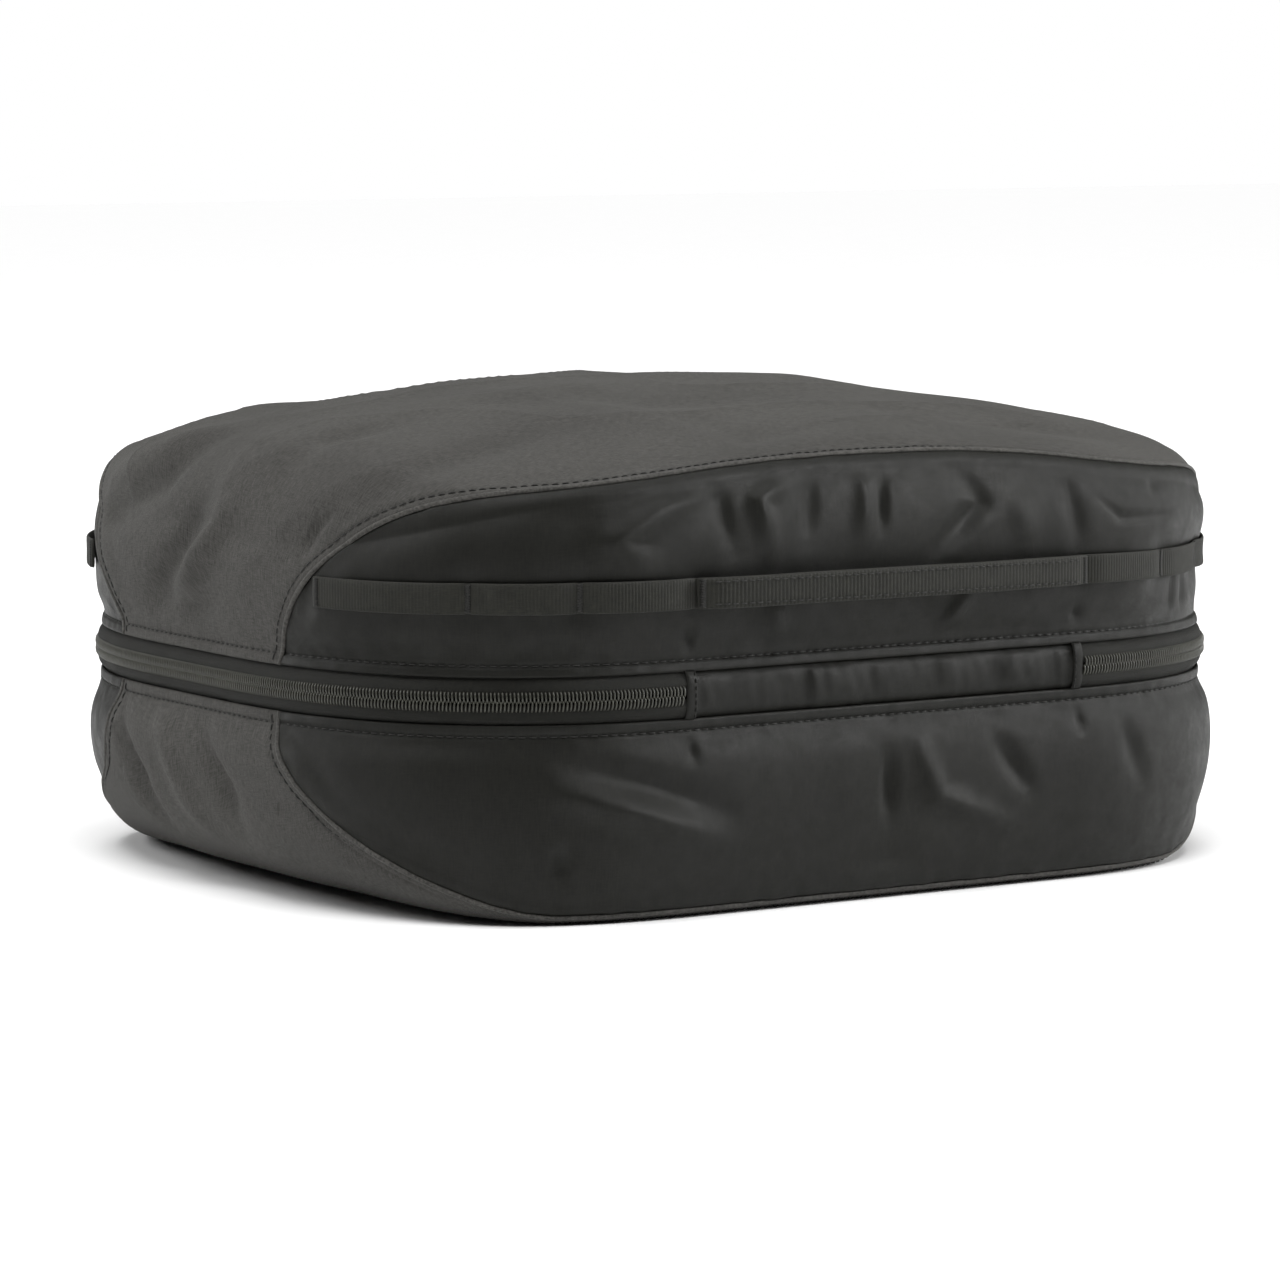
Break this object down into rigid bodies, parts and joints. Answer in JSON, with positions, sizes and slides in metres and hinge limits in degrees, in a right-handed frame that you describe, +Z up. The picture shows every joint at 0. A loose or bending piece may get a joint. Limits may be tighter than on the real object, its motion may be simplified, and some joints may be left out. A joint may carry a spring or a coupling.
{
  "type": "packing cube",
  "caption": "Soft clamshell packing cube with a perimeter zip, a fabric hinge on one long side and webbing grab handles on both long sides.",
  "frame": {"origin": "centre of the resting face, at the middle of the whole part's plan", "axes": "+X along the long sides, -Y towards the hinge side, +Z up from the resting face"},
  "size_m": [0.3668, 0.31, 0.1635],
  "materials": {
    "cover_fabric": "matte woven polyester, grey",
    "panel_fabric": "coated ripstop with a dull shine, near black",
    "piping_fabric": "folded woven seam bead",
    "webbing": "ribbed nylon webbing, dark olive",
    "zip_tape": "woven zip tape, dark olive",
    "zip_coil": "nylon coil, dark olive",
    "binding": "grosgrain binding tape",
    "mesh": "open knitted mesh, black",
    "slider_metal": "die-cast, painted dark grey",
    "pull_grip": "moulded soft plastic, black"
  },
  "bodies": {
    "base": {"lower_cover": "cover_fabric", "lower_back_panel": "panel_fabric", "lower_back_piping": "piping_fabric", "lower_back_binding": "binding", "lower_front_panel": "panel_fabric", "lower_front_piping": "piping_fabric", "lower_front_binding": "binding", "lower_zip_tape": "zip_tape", "lower_zip_coil": "zip_coil", "hinge_panel": "panel_fabric", "zip_end_tab_left": "panel_fabric", "zip_end_tab_right": "panel_fabric"},
    "lid": {"upper_cover": "cover_fabric", "upper_back_panel": "panel_fabric", "upper_back_piping": "piping_fabric", "upper_back_binding": "binding", "upper_front_panel": "panel_fabric", "upper_front_piping": "piping_fabric", "upper_front_binding": "binding", "upper_zip_tape": "zip_tape", "upper_zip_coil": "zip_coil", "back_webbing": "webbing", "front_webbing": "webbing", "back_handle": "webbing", "front_handle": "webbing", "divider_mesh_rear": "mesh", "divider_mesh_front": "mesh", "divider_tape_front": "zip_tape", "divider_tape_rear": "zip_tape", "divider_coil_front": "zip_coil", "divider_coil_rear": "zip_coil"},
    "right_zip_slider": {"right_slider": "slider_metal"},
    "left_zip_slider": {"left_slider": "slider_metal"},
    "divider_zip_slider": {"divider_slider": "slider_metal"},
    "right_pull": {"right_pull_link": "slider_metal", "right_pull_grip": "pull_grip"},
    "left_pull": {"left_pull_link": "slider_metal", "left_pull_grip": "pull_grip"},
    "divider_pull": {"divider_pull_link": "slider_metal", "divider_pull_grip": "pull_grip"}
  },
  "joints": [
    {"name": "lid_hinge", "type": "hinge", "parent": "base", "child": "lid", "pos_m": [0, -0.1455, 0.0715], "axis": [1, 0, 0], "range_deg": [0, 150], "deforming": ["hinge_panel", "zip_end_tab_left", "zip_end_tab_right"]},
    {"name": "right_slider_travel", "type": "slide", "parent": "base", "child": "right_zip_slider", "axis": [1, 0, 0], "range_m": [0, 0.056]},
    {"name": "left_slider_travel", "type": "slide", "parent": "base", "child": "left_zip_slider", "axis": [-1, 0, 0], "range_m": [0, 0.056]},
    {"name": "right_pull_swing", "type": "hinge", "parent": "right_zip_slider", "child": "right_pull", "pos_m": [0.0056, 0.1481, 0.0715], "axis": [0, 0, 1], "range_deg": [0, 120]},
    {"name": "left_pull_swing", "type": "hinge", "parent": "left_zip_slider", "child": "left_pull", "pos_m": [-0.0056, 0.1481, 0.0715], "axis": [0, 0, -1], "range_deg": [0, 120]},
    {"name": "divider_slider_travel", "type": "slide", "parent": "lid", "child": "divider_zip_slider", "axis": [1, 0, 0], "range_m": [0, 0.245]},
    {"name": "divider_pull_swing", "type": "hinge", "parent": "divider_zip_slider", "child": "divider_pull", "pos_m": [-0.141, 0.085, 0.0802], "axis": [0, 1, 0], "range_deg": [-85, 40]}
  ]
}
